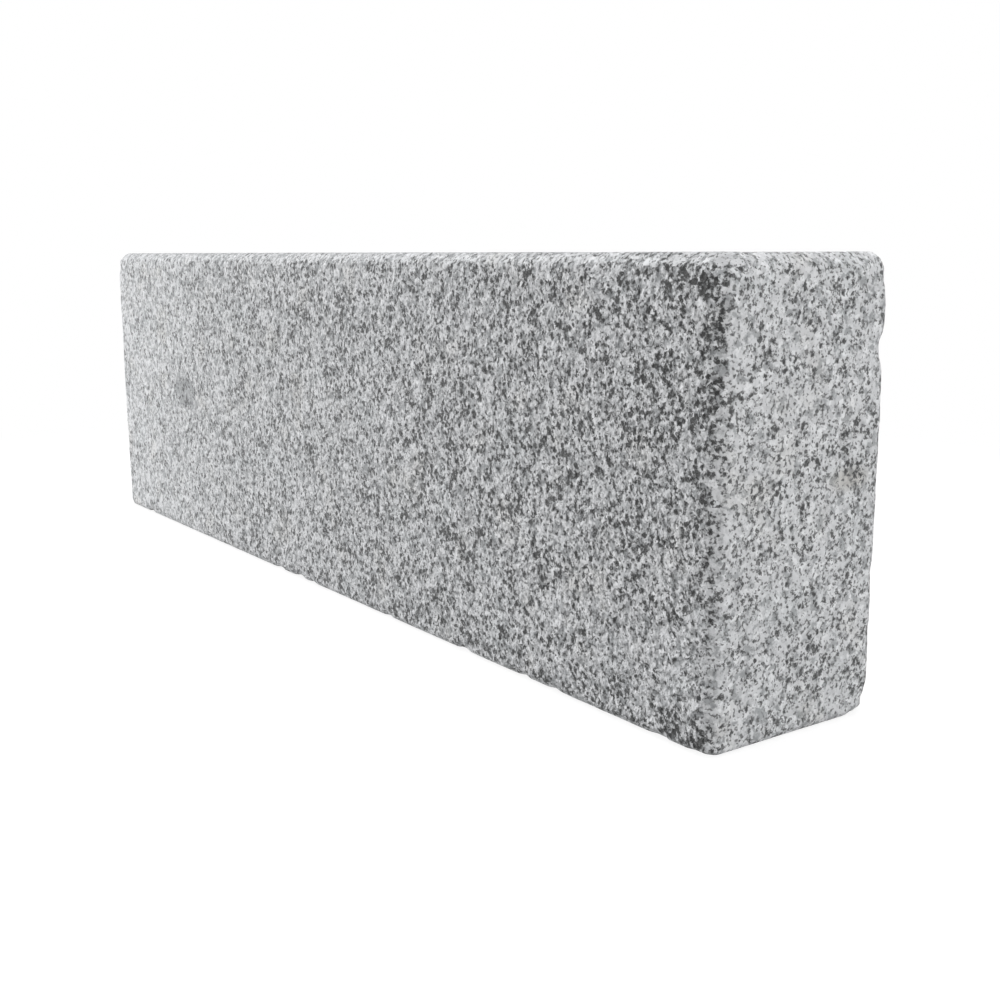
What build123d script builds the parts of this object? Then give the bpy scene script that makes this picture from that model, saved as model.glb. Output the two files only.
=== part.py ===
"""Granite kerb stone: one sawn block with rounded arrises, standing on its bed.

X runs along the row of kerbs, Y across the kerb and Z up from the bed.
The origin is at the middle of the bed. Sizes are in millimetres.
"""

import os

from build123d import *

# Driving dimensions
length = 1000.0  # joint to joint
width = 150.0  # across the kerb, exposed side to haunched side
height = 300.0  # bed to top
arris_radius = 12.0  # top and upright arrises, worn round by dressing
bed_arris_radius = 6.0  # arris round the bed, left tighter by the saw

os.makedirs("parts", exist_ok=True)

with BuildPart() as kerb_stone:
    # Sawn block, drawn on its bed
    with BuildSketch(Plane.XY):
        Rectangle(length, width)
    extrude(amount=height)

    # Rounded arrises that show once the kerb is laid, meeting in ball corners
    upright_arrises = kerb_stone.edges().filter_by(Axis.Z)
    top_arrises = kerb_stone.faces().sort_by(Axis.Z)[-1].edges()
    fillet(upright_arrises + top_arrises, radius=arris_radius)

    # Tighter arris all round the bed, running round the upright arrises
    bed_arrises = kerb_stone.faces().sort_by(Axis.Z)[0].edges()
    fillet(bed_arrises, radius=bed_arris_radius)

kerb_stone.part.label = "kerb_stone"
export_step(kerb_stone.part, "parts/kerb_stone.step")
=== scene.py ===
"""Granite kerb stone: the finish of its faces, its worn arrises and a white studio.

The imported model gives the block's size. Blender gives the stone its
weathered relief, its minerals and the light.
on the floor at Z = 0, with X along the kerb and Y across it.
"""

import math

import bmesh
import bpy
from bpy.props import FloatProperty, FloatVectorProperty, IntProperty, PointerProperty
from mathutils import Matrix, Vector


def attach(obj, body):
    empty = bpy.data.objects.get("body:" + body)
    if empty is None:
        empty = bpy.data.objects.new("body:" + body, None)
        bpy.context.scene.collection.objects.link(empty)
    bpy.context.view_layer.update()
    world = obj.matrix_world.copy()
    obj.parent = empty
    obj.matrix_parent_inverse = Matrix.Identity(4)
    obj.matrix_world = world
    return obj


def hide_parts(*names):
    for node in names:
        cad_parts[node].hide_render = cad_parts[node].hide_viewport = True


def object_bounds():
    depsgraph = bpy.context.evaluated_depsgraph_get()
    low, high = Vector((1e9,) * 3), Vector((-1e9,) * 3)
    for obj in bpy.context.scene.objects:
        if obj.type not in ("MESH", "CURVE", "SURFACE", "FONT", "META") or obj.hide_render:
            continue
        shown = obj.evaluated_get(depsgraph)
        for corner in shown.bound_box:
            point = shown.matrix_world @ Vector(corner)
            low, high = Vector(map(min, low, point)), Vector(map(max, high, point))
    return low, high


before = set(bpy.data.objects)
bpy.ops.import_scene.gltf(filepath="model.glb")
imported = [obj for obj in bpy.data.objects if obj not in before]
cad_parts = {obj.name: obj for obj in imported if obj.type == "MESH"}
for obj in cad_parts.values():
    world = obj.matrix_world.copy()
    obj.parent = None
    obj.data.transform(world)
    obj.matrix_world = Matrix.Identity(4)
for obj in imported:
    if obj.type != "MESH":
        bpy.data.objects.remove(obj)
cad_low, cad_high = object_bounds()

bl_info = {
    "name": "Granite kerb stone",
    "version": (1, 0, 0),
    "blender": (4, 5, 0),
    "location": "View3D > Sidebar > Kerb stone",
    "description": "Dresses a sawn granite kerb with its relief, minerals and studio light",
    "category": "Object",
}

MM = 0.001
STONE_NODE = "kerb_stone"

# Where the stone has lost a flake, as (place, centre, reach, depth), all in millimetres
SPALLS = (
    ("near end, back arris", (500.0, 75.0, 239.0), 18.0, 2.4),
    ("near end, back arris, low", (500.0, 75.0, 96.0), 11.0, 1.6),
    ("near end, back arris, high", (500.0, 75.0, 290.0), 22.0, 2.2),
    ("near end, top front corner", (500.0, -75.0, 300.0), 20.0, 2.5),
    ("near end, bed back corner", (496.0, 71.0, 0.0), 22.0, 2.6),
    ("near end, bed front corner", (500.0, -75.0, 0.0), 10.0, 1.4),
    ("far end, top front corner", (-500.0, -75.0, 300.0), 20.0, 2.4),
    ("far end, front arris", (-500.0, -75.0, 284.0), 16.0, 1.8),
    ("far end, bed front corner", (-500.0, -75.0, 0.0), 12.0, 1.4),
    ("front bed arris, far", (-432.0, -75.0, 0.0), 13.0, 2.4),
    ("front bed arris, before the middle", (-88.0, -75.0, 0.0), 12.0, 1.6),
    ("front bed arris, middle", (-46.0, -75.0, 0.0), 15.0, 2.2),
    ("front bed arris, past the middle", (-20.0, -75.0, 0.0), 10.0, 1.4),
    ("front bed arris, near", (118.0, -75.0, 0.0), 11.0, 1.6),
    ("front bed arris, nearer", (231.0, -75.0, 0.0), 11.0, 1.5),
    ("front bed arris, small", (310.0, -75.0, 0.0), 10.0, 1.3),
    ("front bed arris, small and long", (346.0, -75.0, 0.0), 11.0, 1.3),
    ("front bed arris, by the near end", (452.0, -75.0, 0.0), 12.0, 1.0),
    ("front bed arris, at the near end", (486.0, -75.0, 0.0), 12.0, 1.3),
    ("far end, top back corner", (-500.0, 75.0, 300.0), 20.0, 3.6),
    ("far end, bed back corner", (-500.0, 75.0, 0.0), 16.0, 3.0),
    ("back top arris", (-140.0, 75.0, 300.0), 18.0, 2.8),
)

# Clots of dark mica, as (place, centre, reach along X Y Z, strength), with sizes in millimetres. Along
# the near front arris they also paint shade, and where they are below zero they paint light.
# A strength below zero thins the mica out.
MICA_CLOTS_AND_PAINTED_SHADING = (
    ("top of the near front arris", (490.0, -74.0, 284.0), (27.0, 14.0, 10.0), 0.18),
    # Mica and painted shade: these two darken the band down the near front arris
    ("along the near front arris", (488.0, -75.0, 224.0), (14.0, 7.0, 84.0), 0.06),
    ("low on the near front arris", (494.0, -75.0, 124.0), (10.0, 8.0, 56.0), 0.07),
    # Painted light: thinner mica makes the stone paler here, standing in for light thrown up from below
    ("painted light above the foot of the near front arris", (474.0, -75.0, 48.0), (46.0, 14.0, 34.0), -0.06),
    ("foot of the near front arris", (478.0, -74.0, 7.0), (30.0, 12.0, 8.0), 0.12),
    ("upright flakes on the near end", (500.0, -8.0, 276.0), (6.0, 2.0, 13.0), 0.10),
    # Painted light: thinner mica makes the low front paler, standing in for light thrown up from below
    ("painted light low on the front", (400.0, -75.0, 65.0), (120.0, 10.0, 70.0), -0.035),
)

# A lump of quartz shows as a grey patch on the front, as centre and reach along X Y Z in millimetres
QUARTZ_LUMP = ((-303.0, -75.0, 153.0), (42.0, 10.0, 20.0))

# A faint rust stain on the near end, in the same order
RUST_STAIN = ((500.0, 40.0, 160.0), (12.0, 20.0, 9.0))

# Layers of relief, as (name, width in millimetres, roughness, noise level where the layer starts,
# noise level where it is deepest)
RELIEF_LAYERS = (
    ("swell", 110.0, 0.5, 0.42, 0.72),
    ("blister", 16.0, 0.6, 0.42, 0.75),
    ("bruise", 34.0, 0.55, 0.44, 0.74),
)

# Other sizes of the relief and the grain, in millimetres
CHIP_SPACING = 26.0
FLAKE_EDGE_WIDTH = 12.0
FLAKE_EDGE_SHIFT = 14.0
GRAIN_EDGE_WIDTH = 2.2
GRAIN_EDGE_SHIFT = 1.0
STAIN_WIDTH = 38.0

# Where the stone changes along X, and along Z by the top arrises, as start and end in millimetres
WEATHERED_ALONG = (-500.0, 450.0)
FINE_ALONG = (-520.0, -150.0)
CROWN_HEIGHTS = (268.0, 294.0)

# Turn of the granite's patterns about X, Y and Z, in radians
PATTERN_TURN = (0.61, 0.47, 0.83)

# Each softbox as (name, place, aim, width, height, watts), in metres
SOFTBOXES = (
    ("softbox_front", (-0.9, -2.8, 0.6), (0.2, -0.075, 0.15), 1.4, 1.0, 10.0),
    ("softbox_left", (-3.4, -4.3, 0.6), (0.1, -0.075, 0.15), 2.4, 1.0, 252.0),
    ("softbox_right", (2.27, 0.1, 0.36), (0.5, 0.0, 0.15), 0.8, 0.7, 22.4),
    ("softbox_back", (-0.8, 2.0, 1.0), (-0.2, 0.075, 0.15), 1.6, 1.2, 26.0),
    ("softbox_top", (0.1, 0.0, 2.2), (0.1, 0.0, 0.3), 2.0, 1.2, 29.0),
)

# The floor's reach from the middle, and where its paper starts and ends running off into white, in metres
FLOOR_REACH = 8.0
RUN_OFF = (0.7, 1.2)

# Glow that the paper shows to the eye besides the light that falls on it, where 1 is white
PAPER_GLOW = 0.86


def linear_from_hex(code):
    """Turn an sRGB colour such as "#C8CACB" into linear red, green and blue."""
    channels = [int(code[i:i + 2], 16) / 255.0 for i in (1, 3, 5)]
    return tuple(c / 12.92 if c <= 0.04045 else ((c + 0.055) / 1.055) ** 2.4 for c in channels)


def add_node(tree, kind, inputs=None, **settings):
    """Add a node, give it its settings, then set its inputs or link them to other nodes."""
    node = tree.nodes.new(kind)
    for name, value in settings.items():
        setattr(node, name, value)
    for key, value in (inputs or {}).items():
        named = [s for s in node.inputs if s.enabled and s.name == key]
        socket = named[0] if named else node.inputs[key]
        if isinstance(value, bpy.types.Node):
            value = next(s for s in value.outputs if s.enabled)
        if isinstance(value, bpy.types.NodeSocket):
            tree.links.new(value, socket)
        else:
            socket.default_value = value
    return node


def share_of_reach(tree, place, centre, reach):
    """Give how far a place lies from a centre, as a share of the reach along each axis."""
    middle = Vector(centre) * MM
    away = add_node(tree, "ShaderNodeVectorMath", {0: place, 1: middle}, operation="SUBTRACT")
    away = add_node(tree, "ShaderNodeVectorMath", {0: away, 1: Vector(reach) * MM}, operation="DIVIDE")
    return add_node(tree, "ShaderNodeVectorMath", {0: away}, operation="LENGTH").outputs["Value"]


def seen_as_backdrop(tree):
    """Tell the rays that see the backdrop, directly or mirrored, from those that only carry light."""
    ray = add_node(tree, "ShaderNodeLightPath").outputs
    seen = ray["Is Camera Ray"]
    for kind in ("Is Glossy Ray", "Is Transmission Ray"):
        seen = add_node(tree, "ShaderNodeMath", {0: seen, 1: ray[kind]}, operation="MAXIMUM")
    return seen


class KerbShape(bpy.types.PropertyGroup):
    """Sizes of the block and of the relief on its faces."""

    size: FloatVectorProperty(
        name="Size",
        description="Length, width and height of the block",
        default=cad_high - cad_low,
        unit="LENGTH",
        subtype="XYZ",
    )
    arris_radius: FloatProperty(
        name="Arris radius",
        description="Rounding of the top and upright arrises",
        default=12.0 * MM,
        unit="LENGTH",
    )
    bed_arris_radius: FloatProperty(
        name="Bed arris radius",
        description="Rounding of the arris round the bed",
        default=6.0 * MM,
        unit="LENGTH",
    )
    facet: FloatProperty(
        name="Facet",
        description="Mean spacing of the mesh over the faces",
        default=3.16 * MM,
        unit="LENGTH",
    )
    crowding: FloatProperty(
        name="Crowding",
        description="How much closer the mesh lies at the arrises than in mid face",
        default=0.35,
        subtype="FACTOR",
    )
    swell: FloatProperty(
        name="Swell",
        description="Depth of the slow hollows left by dressing",
        default=0.7 * MM,
        unit="LENGTH",
    )
    blister: FloatProperty(
        name="Blister",
        description="Depth of the shallow scales lifted by the flame",
        default=0.8 * MM,
        unit="LENGTH",
    )
    wear: FloatProperty(
        name="Wear",
        description="Depth of the bruising along the arrises",
        default=1.5 * MM,
        unit="LENGTH",
    )
    chip: FloatProperty(
        name="Chip",
        description="Depth of the small chips along the arrises",
        default=1.6 * MM,
        unit="LENGTH",
    )
    sawn_share: FloatProperty(
        name="Sawn share",
        description="Relief of the sawn ends as a share of the flamed faces' relief",
        default=0.3,
        subtype="FACTOR",
    )
    trodden_share: FloatProperty(
        name="Trodden share",
        description="Relief of the trodden top as a share of the flamed faces' relief",
        default=0.35,
        subtype="FACTOR",
    )
    seed: IntProperty(name="Seed", description="Picks one set of hollows and chips", default=7)


class GraniteFinish(bpy.types.PropertyGroup):
    """Colours and grain sizes of the granite."""

    feldspar: FloatVectorProperty(
        name="Feldspar",
        description="Pale crystals that make up most of the stone",
        default=linear_from_hex("#DDDEE0"),
        subtype="COLOR",
        min=0.0,
        max=1.0,
    )
    feldspar_bright: FloatVectorProperty(
        name="Bright feldspar",
        description="Fresh crystals with a white cleavage face",
        default=linear_from_hex("#EAEBED"),
        subtype="COLOR",
        min=0.0,
        max=1.0,
    )
    feldspar_shade: FloatVectorProperty(
        name="Feldspar shade",
        description="Duller feldspar crystals",
        default=linear_from_hex("#D1D2D4"),
        subtype="COLOR",
        min=0.0,
        max=1.0,
    )
    quartz: FloatVectorProperty(
        name="Quartz",
        description="Glassy grey grains between the feldspar",
        default=linear_from_hex("#AAACAE"),
        subtype="COLOR",
        min=0.0,
        max=1.0,
    )
    mica: FloatVectorProperty(
        name="Mica",
        description="Dark flakes of biotite",
        default=linear_from_hex("#292A2A"),
        subtype="COLOR",
        min=0.0,
        max=1.0,
    )
    # This tone is also the one that the painted shade in the pits darkens the colour towards
    mica_pale_and_pit_shade: FloatVectorProperty(
        name="Pale mica",
        description="Flakes that lie flat to the face or just under it",
        default=linear_from_hex("#7C7D7D"),
        subtype="COLOR",
        min=0.0,
        max=1.0,
    )
    warm_tint: FloatVectorProperty(
        name="Warm tint",
        description="Faint iron stain",
        default=linear_from_hex("#FEFDFB"),
        subtype="COLOR",
        min=0.0,
        max=1.0,
    )
    rust_tint: FloatVectorProperty(
        name="Rust tint",
        description="Faint rust stain on the near end",
        default=linear_from_hex("#EAE7E2"),
        subtype="COLOR",
        min=0.0,
        max=1.0,
    )
    green_tint: FloatVectorProperty(
        name="Green tint",
        description="Faint chlorite in the feldspar",
        default=linear_from_hex("#FCFDFD"),
        subtype="COLOR",
        min=0.0,
        max=1.0,
    )
    feldspar_grain: FloatProperty(
        name="Feldspar grain",
        description="Width of a feldspar crystal",
        default=4.2 * MM,
        unit="LENGTH",
    )
    quartz_grain: FloatProperty(
        name="Quartz grain",
        description="Width of a patch of quartz",
        default=3.4 * MM,
        unit="LENGTH",
    )
    mica_flake: FloatProperty(
        name="Mica flake",
        description="Width of one flake of mica",
        default=1.3 * MM,
        unit="LENGTH",
    )
    mica_spacing: FloatProperty(
        name="Mica spacing",
        description="Mean distance from one speck of mica to the next",
        default=4.4 * MM,
        unit="LENGTH",
    )
    pepper: FloatProperty(
        name="Pepper",
        description="Width of the finest dark specks",
        default=1.2 * MM,
        unit="LENGTH",
    )
    mica_clot: FloatProperty(
        name="Mica clot",
        description="Width of a clot of specks",
        default=14.0 * MM,
        unit="LENGTH",
    )
    knob: FloatProperty(
        name="Knob",
        description="Width of a knob that the flame leaves standing",
        default=3.6 * MM,
        unit="LENGTH",
    )
    burst: FloatProperty(
        name="Burst",
        description="Width of a patch of grains that the flame has burst",
        default=4.5 * MM,
        unit="LENGTH",
    )
    burst_depth: FloatProperty(
        name="Burst depth",
        description="How far the fine relief of the flamed faces goes down",
        default=3.6 * MM,
        unit="LENGTH",
    )


class KerbStudio(bpy.types.PropertyGroup):
    """Camera and light of the studio."""

    station: FloatVectorProperty(
        name="Camera station",
        description="Where the camera stands",
        default=(1019.2 * MM, -595.4 * MM, 300.0 * MM),
        subtype="TRANSLATION",
        unit="LENGTH",
    )
    heading: FloatProperty(
        name="Heading",
        description="Turn of the camera to the left of +Y",
        default=math.radians(54.695),
        subtype="ANGLE",
    )
    tilt: FloatProperty(
        name="Tilt",
        description="How far the camera looks down",
        default=math.radians(10.938),
        subtype="ANGLE",
    )
    roll: FloatProperty(
        name="Roll",
        description="Lean of the camera about its own axis",
        default=math.radians(-0.16),
        subtype="ANGLE",
    )
    lens: FloatProperty(
        name="Lens",
        description="Focal length in millimetres on a 36 mm wide sensor",
        default=46.175,
        subtype="DISTANCE_CAMERA",
    )
    fill: FloatProperty(
        name="Fill",
        description="Level of the even light from all round",
        default=0.08,
    )


def round_arrises(tree, position, size, radius, bed_radius):
    """Give each point of a plain block its place on the block with rounded arrises."""
    half = add_node(tree, "ShaderNodeVectorMath", {0: size, "Scale": 0.5}, operation="SCALE")
    # In plan, points beyond the inner rectangle are drawn onto arcs round its corners
    plan = add_node(tree, "ShaderNodeVectorMath", {0: position, 1: (1, 1, 0)}, operation="MULTIPLY")
    inset = add_node(tree, "ShaderNodeCombineXYZ", {"X": radius, "Y": radius})
    corner = add_node(tree, "ShaderNodeVectorMath", {0: half, 1: inset}, operation="SUBTRACT")
    opposite = add_node(tree, "ShaderNodeVectorMath", {0: corner, "Scale": -1.0}, operation="SCALE")
    capped = add_node(tree, "ShaderNodeVectorMath", {0: plan, 1: corner}, operation="MINIMUM")
    core = add_node(tree, "ShaderNodeVectorMath", {0: capped, 1: opposite}, operation="MAXIMUM")
    outward = add_node(tree, "ShaderNodeVectorMath", {0: plan, 1: core}, operation="SUBTRACT")
    direction = add_node(tree, "ShaderNodeVectorMath", {0: outward}, operation="NORMALIZE")
    spread = add_node(tree, "ShaderNodeVectorMath", {0: outward}, operation="ABSOLUTE")
    spread_xyz = add_node(tree, "ShaderNodeSeparateXYZ", {0: spread}).outputs
    reach = add_node(tree, "ShaderNodeMath", {
        0: spread_xyz["X"], 1: spread_xyz["Y"],
    }, operation="MAXIMUM")
    # In section, the same is done round the top arris and round the tighter bed arris
    z = add_node(tree, "ShaderNodeSeparateXYZ", {0: position}).outputs["Z"]
    half_height = add_node(tree, "ShaderNodeSeparateXYZ", {0: half}).outputs["Z"]
    above = add_node(tree, "ShaderNodeMath", {0: z, 1: 0.0}, operation="GREATER_THAN")
    arris = add_node(tree, "ShaderNodeMix", {"Factor": above, "A": bed_radius, "B": radius})
    ledge = add_node(tree, "ShaderNodeMath", {0: radius, 1: arris}, operation="SUBTRACT")
    across = add_node(tree, "ShaderNodeMath", {0: reach, 1: ledge}, operation="SUBTRACT")
    across = add_node(tree, "ShaderNodeMath", {0: across, 1: 0.0}, operation="MAXIMUM")
    level = add_node(tree, "ShaderNodeMath", {0: z}, operation="ABSOLUTE")
    shoulder = add_node(tree, "ShaderNodeMath", {0: half_height, 1: arris}, operation="SUBTRACT")
    upward = add_node(tree, "ShaderNodeMath", {0: level, 1: shoulder}, operation="SUBTRACT")
    upward = add_node(tree, "ShaderNodeMath", {0: upward, 1: 0.0}, operation="MAXIMUM")
    slant = add_node(tree, "ShaderNodeCombineXYZ", {"X": across, "Y": upward})
    slant = add_node(tree, "ShaderNodeVectorMath", {0: slant}, operation="NORMALIZE")
    slant_xyz = add_node(tree, "ShaderNodeSeparateXYZ", {0: slant}).outputs
    rim = add_node(tree, "ShaderNodeMath", {0: across, 1: upward}, operation="MAXIMUM")
    flat = add_node(tree, "ShaderNodeMath", {0: reach, 1: ledge}, operation="MINIMUM")
    out_by = add_node(tree, "ShaderNodeMath", {
        0: slant_xyz["X"], 1: rim, 2: flat,
    }, operation="MULTIPLY_ADD")
    stem = add_node(tree, "ShaderNodeMath", {0: level, 1: shoulder}, operation="MINIMUM")
    up_by = add_node(tree, "ShaderNodeMath", {
        0: slant_xyz["Y"], 1: rim, 2: stem,
    }, operation="MULTIPLY_ADD")
    side = add_node(tree, "ShaderNodeMath", {0: z}, operation="SIGN")
    new_z = add_node(tree, "ShaderNodeMath", {
        0: up_by, 1: side, 2: half_height,
    }, operation="MULTIPLY_ADD")
    new_z = add_node(tree, "ShaderNodeCombineXYZ", {"Z": new_z})
    rounded = add_node(tree, "ShaderNodeVectorMath", {0: direction, "Scale": out_by}, operation="SCALE")
    rounded = add_node(tree, "ShaderNodeVectorMath", {0: core, 1: rounded}, operation="ADD")
    return add_node(tree, "ShaderNodeVectorMath", {0: rounded, 1: new_z}, operation="ADD")


def stone_tree():
    """Build the node tree that makes the block, rounds its arrises and wears its surface."""
    tree = bpy.data.node_groups.new("kerb_stone_shape", "GeometryNodeTree")
    tree.interface.new_socket("Geometry", in_out="INPUT", socket_type="NodeSocketGeometry")
    tree.interface.new_socket("Geometry", in_out="OUTPUT", socket_type="NodeSocketGeometry")
    kinds = {
        "Size": "NodeSocketVector",
        "Columns": "NodeSocketInt",
        "Files": "NodeSocketInt",
        "Courses": "NodeSocketInt",
        "Crowding": "NodeSocketFloat",
        "Arris Radius": "NodeSocketFloat",
        "Bed Arris Radius": "NodeSocketFloat",
        "Swell": "NodeSocketFloat",
        "Blister": "NodeSocketFloat",
        "Wear": "NodeSocketFloat",
        "Chip": "NodeSocketFloat",
        "Sawn Share": "NodeSocketFloat",
        "Trodden Share": "NodeSocketFloat",
        "Seed": "NodeSocketInt",
        "Material": "NodeSocketMaterial",
    }
    for name, kind in kinds.items():
        tree.interface.new_socket(name, in_out="INPUT", socket_type=kind)
    given = add_node(tree, "NodeGroupInput").outputs

    # The plain block, with its mesh lines drawn closer together towards the arrises
    block = add_node(tree, "GeometryNodeMeshCube", {
        "Size": given["Size"],
        "Vertices X": given["Columns"],
        "Vertices Y": given["Files"],
        "Vertices Z": given["Courses"],
    })
    position = add_node(tree, "GeometryNodeInputPosition")
    half = add_node(tree, "ShaderNodeVectorMath", {0: given["Size"], "Scale": 0.5}, operation="SCALE")
    share = add_node(tree, "ShaderNodeVectorMath", {0: position, 1: half}, operation="DIVIDE")
    turn = add_node(tree, "ShaderNodeVectorMath", {0: share, "Scale": math.pi}, operation="SCALE")
    wave = add_node(tree, "ShaderNodeVectorMath", {0: turn}, operation="SINE")
    wave = add_node(tree, "ShaderNodeVectorMath", {0: wave, 1: half}, operation="MULTIPLY")
    gain = add_node(tree, "ShaderNodeMath", {0: given["Crowding"], 1: math.pi}, operation="DIVIDE")
    crowded = add_node(tree, "ShaderNodeVectorMath", {0: wave, "Scale": gain}, operation="SCALE")
    crowded = add_node(tree, "ShaderNodeVectorMath", {0: position, 1: crowded}, operation="ADD")
    rounded = round_arrises(
        tree, crowded, given["Size"], given["Arris Radius"], given["Bed Arris Radius"]
    )
    shaped = add_node(tree, "GeometryNodeSetPosition", {
        "Geometry": block.outputs["Mesh"], "Position": rounded,
    })

    # How flamed a face is: the long faces are, the top is trodden and the ends are sawn
    normal = add_node(tree, "GeometryNodeInputNormal").outputs[0]
    squared = add_node(tree, "ShaderNodeVectorMath", {0: normal, 1: normal}, operation="MULTIPLY")
    squared_xyz = add_node(tree, "ShaderNodeSeparateXYZ", {0: squared}).outputs
    normal_z = add_node(tree, "ShaderNodeSeparateXYZ", {0: normal}).outputs["Z"]
    upper = add_node(tree, "ShaderNodeMath", {0: normal_z, 1: 0.0}, operation="GREATER_THAN")
    top = add_node(tree, "ShaderNodeMath", {0: squared_xyz["Z"], 1: upper}, operation="MULTIPLY")
    flamed = add_node(tree, "ShaderNodeMath", {
        0: top, 1: given["Trodden Share"], 2: squared_xyz["Y"],
    }, operation="MULTIPLY_ADD")
    flamed = add_node(tree, "ShaderNodeMath", {
        0: squared_xyz["X"], 1: given["Sawn Share"], 2: flamed,
    }, operation="MULTIPLY_ADD")
    # The bed is left flat, so the relief fades out round the arris below
    standing = add_node(tree, "ShaderNodeMapRange", {
        "Value": normal_z, "From Min": -0.98, "From Max": -0.6,
    }, interpolation_type="SMOOTHSTEP")
    # How far a point lies round an arris, from its largest share of one direction
    largest = squared_xyz["X"]
    for axis in "YZ":
        largest = add_node(tree, "ShaderNodeMath", {
            0: largest, 1: squared_xyz[axis],
        }, operation="MAXIMUM")
    arris = add_node(tree, "ShaderNodeMapRange", {
        "Value": largest, "From Min": 0.97, "From Max": 0.6,
    }, interpolation_type="SMOOTHSTEP")
    # The granite reads both from the mesh
    marked = shaped
    for name, value in (("flamed", flamed), ("arris", arris)):
        marked = add_node(tree, "GeometryNodeStoreNamedAttribute", {
            "Geometry": marked, "Name": name, "Value": value,
        }, data_type="FLOAT", domain="POINT")

    # Slow hollows over whole faces, scales lifted by the flame, and bruising for the arrises
    place = add_node(tree, "GeometryNodeInputPosition")
    layers = {}
    for name, width, roughness, start, deepest in RELIEF_LAYERS:
        noise = add_node(tree, "ShaderNodeTexNoise", {
            "Vector": place,
            "W": given["Seed"],
            "Scale": 1.0 / (width * MM),
            "Detail": 2.0,
            "Roughness": roughness,
        }, noise_dimensions="4D")
        layers[name] = add_node(tree, "ShaderNodeMapRange", {
            "Value": noise.outputs[0], "From Min": start, "From Max": deepest,
        })
    # Chips along the arrises, where only some of the scoops are picked
    scoop = add_node(tree, "ShaderNodeTexVoronoi", {
        "Vector": place, "W": given["Seed"], "Scale": 1.0 / (CHIP_SPACING * MM),
    }, voronoi_dimensions="4D")
    picked = add_node(tree, "ShaderNodeSeparateXYZ", {0: scoop.outputs["Color"]}).outputs["X"]
    picked = add_node(tree, "ShaderNodeMapRange", {"Value": picked, "From Min": 0.45, "From Max": 1.0})
    bowl = add_node(tree, "ShaderNodeMapRange", {
        "Value": scoop.outputs["Distance"], "From Min": 0.5, "From Max": 0.1,
    }, interpolation_type="SMOOTHSTEP")
    chipped = add_node(tree, "ShaderNodeMath", {0: bowl, 1: picked}, operation="MULTIPLY")

    # Depths add up to how far each point is cut back into the stone
    depth = add_node(tree, "ShaderNodeMath", {
        0: layers["swell"], 1: given["Swell"],
    }, operation="MULTIPLY")
    scaled = add_node(tree, "ShaderNodeMath", {
        0: layers["blister"], 1: given["Blister"],
    }, operation="MULTIPLY")
    lifted = add_node(tree, "ShaderNodeMath", {0: arris, 1: -0.7, 2: 1.0}, operation="MULTIPLY_ADD")
    lifted = add_node(tree, "ShaderNodeMath", {0: lifted, 1: flamed}, operation="MULTIPLY")
    depth = add_node(tree, "ShaderNodeMath", {0: scaled, 1: lifted, 2: depth}, operation="MULTIPLY_ADD")
    bruised = add_node(tree, "ShaderNodeMath", {
        0: layers["bruise"], 1: given["Wear"],
    }, operation="MULTIPLY")
    bruised = add_node(tree, "ShaderNodeMath", {
        0: chipped, 1: given["Chip"], 2: bruised,
    }, operation="MULTIPLY_ADD")
    depth = add_node(tree, "ShaderNodeMath", {0: bruised, 1: arris, 2: depth}, operation="MULTIPLY_ADD")
    depth = add_node(tree, "ShaderNodeMath", {0: depth, 1: standing}, operation="MULTIPLY")
    # Flakes lost from the arrises and corners, with ragged edges
    ragged = add_node(tree, "ShaderNodeTexNoise", {
        "Vector": place, "Scale": 1.0 / (FLAKE_EDGE_WIDTH * MM), "Detail": 2.0,
    })
    ragged = add_node(tree, "ShaderNodeVectorMath", {
        0: ragged.outputs["Color"], 1: (0.5, 0.5, 0.5),
    }, operation="SUBTRACT")
    ragged = add_node(tree, "ShaderNodeVectorMath", {
        0: ragged, "Scale": FLAKE_EDGE_SHIFT * MM,
    }, operation="SCALE")
    ragged = add_node(tree, "ShaderNodeVectorMath", {0: place, 1: ragged}, operation="ADD")
    for _, centre, reach, cut in SPALLS:
        middle = Vector(centre) * MM
        away = add_node(tree, "ShaderNodeVectorMath", {0: ragged, 1: middle}, operation="DISTANCE")
        lost = add_node(tree, "ShaderNodeMapRange", {
            "Value": away.outputs["Value"],
            "From Min": reach * MM,
            "From Max": 0.3 * reach * MM,
            "To Max": cut * MM,
        }, interpolation_type="SMOOTHSTEP")
        depth = add_node(tree, "ShaderNodeMath", {0: depth, 1: lost}, operation="ADD")
    inward = add_node(tree, "ShaderNodeMath", {0: depth, 1: -1.0}, operation="MULTIPLY")
    offset = add_node(tree, "ShaderNodeVectorMath", {0: normal, "Scale": inward}, operation="SCALE")
    worn = add_node(tree, "GeometryNodeSetPosition", {"Geometry": marked, "Offset": offset})

    smooth = add_node(tree, "GeometryNodeSetShadeSmooth", {"Geometry": worn})
    whole = add_node(tree, "GeometryNodeRealizeInstances", {"Geometry": smooth})
    dressed = add_node(tree, "GeometryNodeSetMaterial", {
        "Geometry": whole, "Material": given["Material"],
    })
    add_node(tree, "NodeGroupOutput", {"Geometry": dressed})
    return tree


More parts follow.
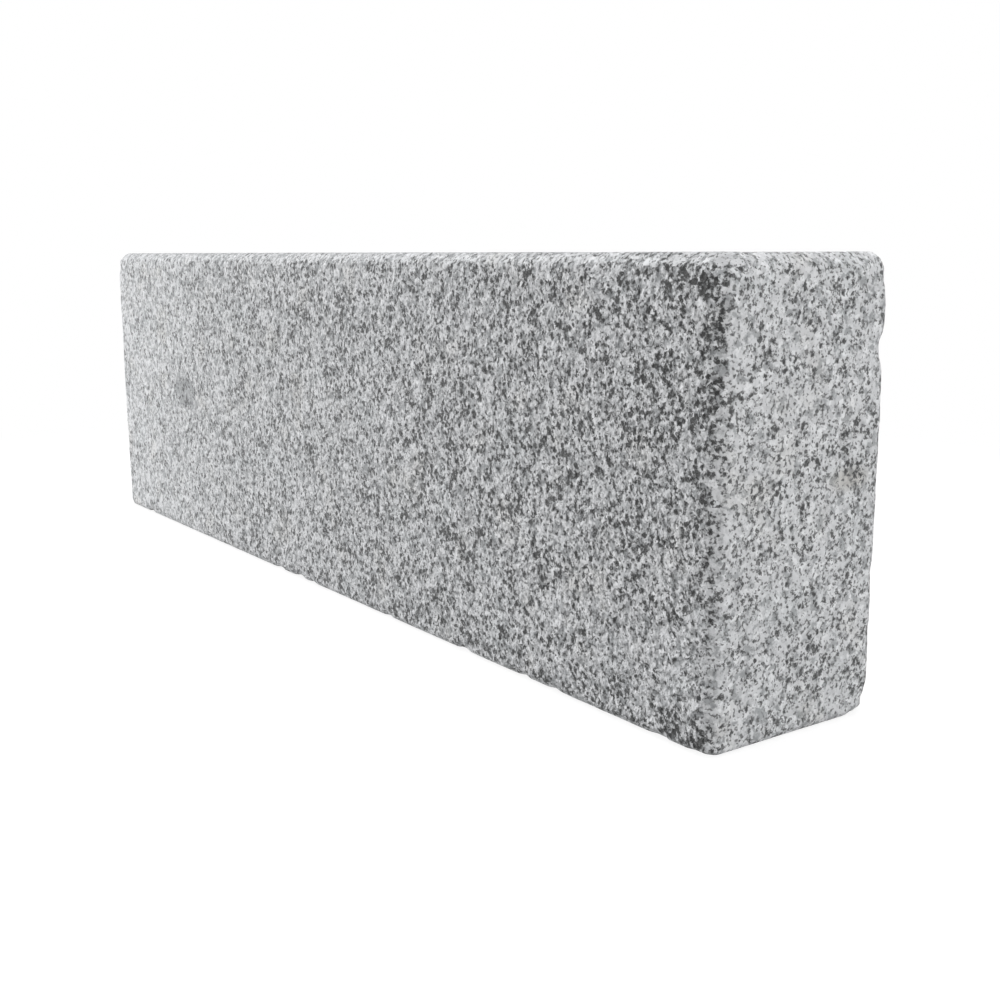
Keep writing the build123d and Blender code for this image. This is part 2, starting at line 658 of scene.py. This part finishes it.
def granite_material(finish):
    """Light grey biotite granite, flamed on the long faces and sawn on the ends."""
    # Medium-grained granite: pale feldspar with glassy grey quartz and clots of black mica. A flame makes
    # the crystals burst, so the face is rough, matt and lightly sparkling. A saw leaves it flatter.
    material = bpy.data.materials.new("granite_flamed_and_sawn")
    material.use_nodes = True
    tree = material.node_tree
    tree.nodes.clear()
    straight = add_node(tree, "ShaderNodeTexCoord").outputs["Object"]
    # The patterns are turned off the block's axes, so that no face cuts them along their own grid
    place = add_node(tree, "ShaderNodeVectorRotate", {
        "Vector": straight, "Rotation": PATTERN_TURN,
    }, rotation_type="EULER_XYZ").outputs[0]
    flamed = add_node(tree, "ShaderNodeAttribute", attribute_name="flamed").outputs["Fac"]
    arris = add_node(tree, "ShaderNodeAttribute", attribute_name="arris").outputs["Fac"]

    # The far end is fresher than the near one, with shallower pits and more quartz; its pits carry less
    # painted shade, and its fewer bright crystals are painted shade where the light falls stronger
    straight_xyz = add_node(tree, "ShaderNodeSeparateXYZ", {0: straight}).outputs
    weathered = add_node(tree, "ShaderNodeMapRange", {
        "Value": straight_xyz["X"],
        "From Min": WEATHERED_ALONG[0] * MM,
        "From Max": WEATHERED_ALONG[1] * MM,
        "To Min": 0.65,
    })
    crisp = add_node(tree, "ShaderNodeMath", {0: weathered, 1: weathered}, operation="MULTIPLY")
    fresh = add_node(tree, "ShaderNodeMath", {0: 1.0, 1: weathered}, operation="SUBTRACT")
    # Over the last stretch before the far end, the finest specks and knobs fade out
    fine = add_node(tree, "ShaderNodeMapRange", {
        "Value": straight_xyz["X"],
        "From Min": FINE_ALONG[0] * MM,
        "From Max": FINE_ALONG[1] * MM,
        "To Min": 0.2,
    }, interpolation_type="SMOOTHSTEP")
    fine = add_node(tree, "ShaderNodeMath", {0: fine, 1: crisp}, operation="MULTIPLY")
    # Tread and handling tell most on the top arrises
    crown = add_node(tree, "ShaderNodeMapRange", {
        "Value": straight_xyz["Z"],
        "From Min": CROWN_HEIGHTS[0] * MM,
        "From Max": CROWN_HEIGHTS[1] * MM,
    }, interpolation_type="SMOOTHSTEP")

    # Grain outlines are ragged, so the patterns read a slightly stirred place
    stir = add_node(tree, "ShaderNodeTexNoise", {
        "Vector": place, "Scale": 1.0 / (GRAIN_EDGE_WIDTH * MM), "Detail": 2.0,
    })
    stir = add_node(tree, "ShaderNodeVectorMath", {
        0: stir.outputs["Color"], 1: (0.5, 0.5, 0.5),
    }, operation="SUBTRACT")
    stir = add_node(tree, "ShaderNodeVectorMath", {
        0: stir, "Scale": GRAIN_EDGE_SHIFT * MM,
    }, operation="SCALE")
    stirred = add_node(tree, "ShaderNodeVectorMath", {0: place, 1: stir}, operation="ADD")

    # Feldspar crystals, each a little brighter or duller than its neighbours
    crystal = add_node(tree, "ShaderNodeTexVoronoi", {
        "Vector": stirred, "Scale": 1.0 / finish.feldspar_grain,
    })
    crystal_pick = add_node(tree, "ShaderNodeSeparateColor", {"Color": crystal.outputs["Color"]}).outputs
    colour = add_node(tree, "ShaderNodeMix", {
        "Factor": crystal_pick["Red"], "A": (*finish.feldspar, 1.0), "B": (*finish.feldspar_shade, 1.0),
    }, data_type="RGBA")
    bright = add_node(tree, "ShaderNodeMapRange", {
        "Value": crystal_pick["Green"], "From Min": 0.68, "From Max": 0.92,
    })
    # Fewer bright crystals toward the far end: painted shade against the stronger light there
    bright = add_node(tree, "ShaderNodeMath", {0: bright, 1: crisp}, operation="MULTIPLY")
    colour = add_node(tree, "ShaderNodeMix", {
        "Factor": bright, "A": colour, "B": (*finish.feldspar_bright, 1.0),
    }, data_type="RGBA")

    # Quartz fills the gaps between them
    quartz = add_node(tree, "ShaderNodeTexNoise", {
        "Vector": stirred, "Scale": 1.0 / (2.0 * finish.quartz_grain), "Detail": 3.0, "Roughness": 0.65,
    })
    lump = add_node(tree, "ShaderNodeMapRange", {
        "Value": share_of_reach(tree, straight, *QUARTZ_LUMP),
        "From Min": 1.1,
        "From Max": 0.4,
        "To Max": 0.15,
    }, interpolation_type="SMOOTHSTEP")
    quartz = add_node(tree, "ShaderNodeMath", {0: quartz.outputs[0], 1: lump}, operation="ADD")
    quartz = add_node(tree, "ShaderNodeMath", {0: fresh, 1: 0.09, 2: quartz}, operation="MULTIPLY_ADD")
    quartz = add_node(tree, "ShaderNodeMapRange", {
        "Value": quartz, "From Min": 0.51, "From Max": 0.62,
    }, interpolation_type="SMOOTHSTEP")
    colour = add_node(tree, "ShaderNodeMix", {
        "Factor": quartz, "A": colour, "B": (*finish.quartz, 1.0),
    }, data_type="RGBA")

    # Slow stains of iron and chlorite, hardly more than a tint
    stain = add_node(tree, "ShaderNodeTexNoise", {
        "Vector": place, "Scale": 1.0 / (STAIN_WIDTH * MM), "Detail": 3.0,
    })
    for tint, low, high in ((finish.warm_tint, 0.55, 0.70), (finish.green_tint, 0.45, 0.30)):
        spread = add_node(tree, "ShaderNodeMapRange", {
            "Value": stain.outputs[0], "From Min": low, "From Max": high,
        }, interpolation_type="SMOOTHSTEP")
        colour = add_node(tree, "ShaderNodeMix", {
            "Factor": spread, "A": colour, "B": (*tint, 1.0),
        }, data_type="RGBA", blend_type="MULTIPLY")
    rust = add_node(tree, "ShaderNodeMapRange", {
        "Value": share_of_reach(tree, straight, *RUST_STAIN), "From Min": 1.3, "From Max": 0.3,
    }, interpolation_type="SMOOTHSTEP")
    colour = add_node(tree, "ShaderNodeMix", {
        "Factor": rust, "A": colour, "B": (*finish.rust_tint, 1.0),
    }, data_type="RGBA", blend_type="MULTIPLY")

    # Fine pepper lies all through the pale grains
    pepper = add_node(tree, "ShaderNodeTexNoise", {
        "Vector": stirred, "Scale": 1.0 / (2.0 * finish.pepper), "Detail": 1.0, "Roughness": 0.5,
    })
    pepper = add_node(tree, "ShaderNodeMapRange", {
        "Value": pepper.outputs[0], "From Min": 0.57, "From Max": 0.67,
    }, interpolation_type="SMOOTHSTEP")
    pepper = add_node(tree, "ShaderNodeMath", {0: pepper, 1: fine}, operation="MULTIPLY")
    colour = add_node(tree, "ShaderNodeMix", {
        "Factor": pepper, "A": colour, "B": (*finish.mica_pale_and_pit_shade, 1.0),
    }, data_type="RGBA")

    # Mica lies in balls of uneven size, frayed into ragged specks that gather in clots
    ball = add_node(tree, "ShaderNodeTexVoronoi", {"Vector": stirred, "Scale": 1.0 / finish.mica_spacing})
    ball_pick = add_node(tree, "ShaderNodeSeparateColor", {"Color": ball.outputs["Color"]}).outputs
    girth = add_node(tree, "ShaderNodeMapRange", {
        "Value": ball_pick["Red"], "To Min": -0.1, "To Max": 0.45,
    })
    speck = add_node(tree, "ShaderNodeMath", {
        0: girth, 1: ball.outputs["Distance"],
    }, operation="SUBTRACT")
    fray = add_node(tree, "ShaderNodeTexNoise", {
        "Vector": stirred, "Scale": 1.0 / (2.0 * finish.mica_flake), "Detail": 3.0, "Roughness": 0.68,
    }).outputs[0]
    clot = add_node(tree, "ShaderNodeTexNoise", {
        "Vector": place, "Scale": 1.0 / finish.mica_clot, "Detail": 1.0,
    }).outputs[0]
    clot = add_node(tree, "ShaderNodeMath", {0: clot, 1: 0.5}, operation="SUBTRACT")
    # Tread has worn some of the mica off the top arrises
    bare = add_node(tree, "ShaderNodeMath", {0: arris, 1: crown}, operation="MULTIPLY")
    gathered = fray
    for part, weight in ((speck, 0.35), (clot, 0.36), (fresh, -0.05), (bare, -0.05), (flamed, 0.015)):
        gathered = add_node(tree, "ShaderNodeMath", {
            0: part, 1: weight, 2: gathered,
        }, operation="MULTIPLY_ADD")
    for _, centre, reach, strength in MICA_CLOTS_AND_PAINTED_SHADING:
        extra = add_node(tree, "ShaderNodeMapRange", {
            "Value": share_of_reach(tree, straight, centre, reach),
            "From Min": 1.2,
            "From Max": 0.2,
            "To Max": strength,
        }, interpolation_type="SMOOTHSTEP")
        gathered = add_node(tree, "ShaderNodeMath", {0: gathered, 1: extra}, operation="ADD")
    mica = add_node(tree, "ShaderNodeMapRange", {
        "Value": gathered, "From Min": 0.43, "From Max": 0.565,
    }, interpolation_type="SMOOTHSTEP")
    # It shows less in fresher stone, and a little less where the saw has ground it
    faded = add_node(tree, "ShaderNodeMath", {0: weathered, 1: 0.5, 2: 0.5}, operation="MULTIPLY_ADD")
    ground = add_node(tree, "ShaderNodeMath", {0: flamed, 1: 0.08, 2: 0.92}, operation="MULTIPLY_ADD")
    for share in (faded, ground):
        mica = add_node(tree, "ShaderNodeMath", {0: mica, 1: share}, operation="MULTIPLY")
    # A thick clot is black, and a thin one lets the stone below show through
    depth_in = add_node(tree, "ShaderNodeMapRange", {
        "Value": gathered, "From Min": 0.45, "From Max": 0.68,
    })
    flake_colour = add_node(tree, "ShaderNodeMix", {
        "Factor": depth_in, "A": (*finish.mica_pale_and_pit_shade, 1.0), "B": (*finish.mica, 1.0),
    }, data_type="RGBA")
    colour = add_node(tree, "ShaderNodeMix", {
        "Factor": mica, "A": colour, "B": flake_colour,
    }, data_type="RGBA")

    # The flame bursts grains out of the face and leaves a bed of small knobs, where mica lies in pits
    knob = add_node(tree, "ShaderNodeTexVoronoi", {
        "Vector": stirred, "Scale": 1.0 / finish.knob, "Smoothness": 0.4,
    }, feature="SMOOTH_F1").outputs["Distance"]
    grit = add_node(tree, "ShaderNodeTexNoise", {
        "Vector": place, "Scale": 1.0 / finish.burst, "Detail": 3.0, "Roughness": 0.62,
    }).outputs[0]
    height = add_node(tree, "ShaderNodeMath", {0: knob, 1: -0.3, 2: grit}, operation="MULTIPLY_ADD")
    relief = add_node(tree, "ShaderNodeMath", {0: mica, 1: -0.3, 2: height}, operation="MULTIPLY_ADD")
    # Handling has rubbed the knobs down on the arrises, and off the top ones
    worn = add_node(tree, "ShaderNodeMapRange", {"Value": crown, "To Min": 0.3, "To Max": 0.94})
    rubbed = add_node(tree, "ShaderNodeMath", {0: arris, 1: worn}, operation="MULTIPLY")
    rubbed = add_node(tree, "ShaderNodeMath", {0: 1.0, 1: rubbed}, operation="SUBTRACT")
    raised = add_node(tree, "ShaderNodeMath", {0: flamed, 1: rubbed}, operation="MULTIPLY")
    raised = add_node(tree, "ShaderNodeMath", {0: raised, 1: fine}, operation="MULTIPLY")
    relief = add_node(tree, "ShaderNodeMath", {0: relief, 1: raised}, operation="MULTIPLY")
    bump = add_node(tree, "ShaderNodeBump", {
        "Height": relief, "Strength": 1.0, "Distance": finish.burst_depth,
    })
    # Painted shade in the pits between the knobs, with the grime that settles there: the colour darkens
    # where the relief is low, and most in the pits of mica
    pit_shade_and_grime = add_node(tree, "ShaderNodeMapRange", {
        "Value": height, "From Min": 0.37, "From Max": 0.18, "To Max": 0.6,
    }, interpolation_type="SMOOTHSTEP")
    pit_shade_and_grime = add_node(tree, "ShaderNodeMath", {
        0: mica, 1: 0.4, 2: pit_shade_and_grime,
    }, operation="MULTIPLY_ADD", use_clamp=True)
    for share in (flamed, weathered):
        pit_shade_and_grime = add_node(tree, "ShaderNodeMath", {0: pit_shade_and_grime, 1: share}, operation="MULTIPLY")
    colour = add_node(tree, "ShaderNodeMix", {
        "Factor": pit_shade_and_grime, "A": colour, "B": (*finish.mica_pale_and_pit_shade, 1.0),
    }, data_type="RGBA", blend_type="MULTIPLY")
    rough = add_node(tree, "ShaderNodeMapRange", {"Value": mica, "To Min": 0.72, "To Max": 0.5})
    shader = add_node(tree, "ShaderNodeBsdfPrincipled", {
        "Base Color": colour, "Roughness": rough, "IOR": 1.53, "Specular IOR Level": 0.25, "Normal": bump,
    })
    add_node(tree, "ShaderNodeOutputMaterial", {"Surface": shader})
    return material


def paper_material():
    """Studio paper, pale under the stone and white away from it, that takes the stone's shadow."""
    # Matt background paper: it throws light back evenly and has no shine
    material = bpy.data.materials.new("white_studio_paper")
    material.use_nodes = True
    tree = material.node_tree
    tree.nodes.clear()
    # It is greyer to the light than to the eye, so that it throws little light up under the stone
    paper = add_node(tree, "ShaderNodeBsdfDiffuse", {"Color": (*linear_from_hex("#8E8E8E"), 1.0)})
    glow = add_node(tree, "ShaderNodeEmission", {"Strength": PAPER_GLOW})
    lit = add_node(tree, "ShaderNodeAddShader", {0: paper, 1: glow})
    # Away from the stone the paper runs off into plain white
    place = add_node(tree, "ShaderNodeTexCoord").outputs["Object"]
    away = add_node(tree, "ShaderNodeVectorMath", {0: place}, operation="LENGTH").outputs["Value"]
    run_off = add_node(tree, "ShaderNodeMapRange", {
        "Value": away, "From Min": RUN_OFF[0], "From Max": RUN_OFF[1],
    }, interpolation_type="SMOOTHSTEP")
    white = add_node(tree, "ShaderNodeEmission", {"Strength": 1.0})
    lit = add_node(tree, "ShaderNodeMixShader", {0: run_off, 1: lit, 2: white})
    mixed = add_node(tree, "ShaderNodeMixShader", {0: seen_as_backdrop(tree), 1: paper, 2: lit})
    add_node(tree, "ShaderNodeOutputMaterial", {"Surface": mixed})
    return material


class KERB_OT_dress_stone(bpy.types.Operator):
    """Make the worn granite block that stands for the sawn one"""

    bl_idname = "kerb.dress_stone"
    bl_label = "Dress the stone"

    def execute(self, context):
        shape = context.scene.kerb_shape
        tree = stone_tree()
        stone = bpy.data.objects.new("kerb_stone_dressed", bpy.data.meshes.new("kerb_stone_dressed"))
        context.scene.collection.objects.link(stone)
        modifier = stone.modifiers.new("shape", "NODES")
        modifier.node_group = tree
        columns, files, courses = (round(side / shape.facet) + 1 for side in shape.size)
        values = {
            "Size": shape.size,
            "Columns": columns,
            "Files": files,
            "Courses": courses,
            "Crowding": shape.crowding,
            "Arris Radius": shape.arris_radius,
            "Bed Arris Radius": shape.bed_arris_radius,
            "Swell": shape.swell,
            "Blister": shape.blister,
            "Wear": shape.wear,
            "Chip": shape.chip,
            "Sawn Share": shape.sawn_share,
            "Trodden Share": shape.trodden_share,
            "Seed": shape.seed,
            "Material": granite_material(context.scene.kerb_granite),
        }
        for item in tree.interface.items_tree:
            if item.in_out == "INPUT" and item.name in values:
                modifier[item.identifier] = values[item.name]
        depsgraph = context.evaluated_depsgraph_get()
        mesh = bpy.data.meshes.new_from_object(stone.evaluated_get(depsgraph), depsgraph=depsgraph)
        if not mesh.polygons:
            raise RuntimeError("the stone's node tree gave no mesh")
        mesh.name = "kerb_stone_worn"
        # The block starts with an empty material slot, which goes
        mesh.materials.pop(index=0)
        stone.modifiers.clear()
        stone.data = mesh
        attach(stone, "root")
        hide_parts(STONE_NODE)
        return {"FINISHED"}


class KERB_OT_set_stage(bpy.types.Operator):
    """Lay the white paper floor and set up the studio light and the camera"""

    bl_idname = "kerb.set_stage"
    bl_label = "Set the stage"

    def execute(self, context):
        scene = context.scene
        studio = scene.kerb_studio
        scene.view_settings.view_transform = "Standard"
        self.lay_floor(scene)
        self.light_world(scene, studio.fill)
        for name, place, aim, width, height, watts in SOFTBOXES:
            lamp = bpy.data.lights.new(name, "AREA")
            lamp.shape = "RECTANGLE"
            lamp.size = width
            lamp.size_y = height
            lamp.energy = watts
            softbox = bpy.data.objects.new(name, lamp)
            softbox.location = place
            toward = Vector(aim) - Vector(place)
            softbox.rotation_euler = toward.to_track_quat("-Z", "Y").to_euler()
            scene.collection.objects.link(softbox)
        self.place_camera(scene, studio)
        return {"FINISHED"}

    def lay_floor(self, scene):
        mesh = bpy.data.meshes.new("paper_floor")
        grid = bmesh.new()
        bmesh.ops.create_grid(grid, x_segments=1, y_segments=1, size=FLOOR_REACH)
        grid.to_mesh(mesh)
        grid.free()
        mesh.materials.append(paper_material())
        floor = bpy.data.objects.new("paper_floor", mesh)
        scene.collection.objects.link(floor)

    def light_world(self, scene, fill):
        world = bpy.data.worlds.new("studio_surround")
        world.use_nodes = True
        tree = world.node_tree
        tree.nodes.clear()
        even = add_node(tree, "ShaderNodeBackground", {"Strength": fill})
        white = add_node(tree, "ShaderNodeBackground", {"Strength": 1.0})
        for surround in (even, white):
            surround.inputs["Color"].default_value = (1.0, 1.0, 1.0, 1.0)
        mixed = add_node(tree, "ShaderNodeMixShader", {0: seen_as_backdrop(tree), 1: even, 2: white})
        add_node(tree, "ShaderNodeOutputWorld", {"Surface": mixed})
        scene.world = world

    def place_camera(self, scene, studio):
        data = bpy.data.cameras.new("photo_camera")
        data.sensor_width = 36.0
        data.lens = studio.lens
        data.clip_start = 0.01
        data.clip_end = 100.0
        camera = bpy.data.objects.new("photo_camera", data)
        turn = Matrix.Rotation(studio.heading, 4, "Z")
        nod = Matrix.Rotation(math.pi / 2 - studio.tilt, 4, "X")
        lean = Matrix.Rotation(studio.roll, 4, "Z")
        camera.matrix_world = Matrix.Translation(studio.station) @ turn @ nod @ lean
        scene.collection.objects.link(camera)
        scene.camera = camera


class KERB_PT_panel(bpy.types.Panel):
    """Lists the steps that make the kerb stone"""

    bl_idname = "KERB_PT_panel"
    bl_label = "Granite kerb stone"
    bl_space_type = "VIEW_3D"
    bl_region_type = "UI"
    bl_category = "Kerb stone"

    def draw(self, context):
        layout = self.layout
        for group in (context.scene.kerb_shape, context.scene.kerb_granite, context.scene.kerb_studio):
            box = layout.box()
            for name in group.__annotations__:
                box.prop(group, name)
        layout.operator(KERB_OT_dress_stone.bl_idname)
        layout.operator(KERB_OT_set_stage.bl_idname)


CLASSES = (KerbShape, GraniteFinish, KerbStudio, KERB_OT_dress_stone, KERB_OT_set_stage, KERB_PT_panel)


def register():
    """Register the classes and hang their settings on the scene."""
    for item in CLASSES:
        bpy.utils.register_class(item)
    bpy.types.Scene.kerb_shape = PointerProperty(type=KerbShape)
    bpy.types.Scene.kerb_granite = PointerProperty(type=GraniteFinish)
    bpy.types.Scene.kerb_studio = PointerProperty(type=KerbStudio)


def unregister():
    """Take the settings off the scene and unregister the classes."""
    del bpy.types.Scene.kerb_studio
    del bpy.types.Scene.kerb_granite
    del bpy.types.Scene.kerb_shape
    for item in reversed(CLASSES):
        bpy.utils.unregister_class(item)


def main():
    """Make the stone and the stage."""
    register()
    bpy.ops.kerb.dress_stone()
    bpy.ops.kerb.set_stage()


if __name__ == "__main__":
    main()
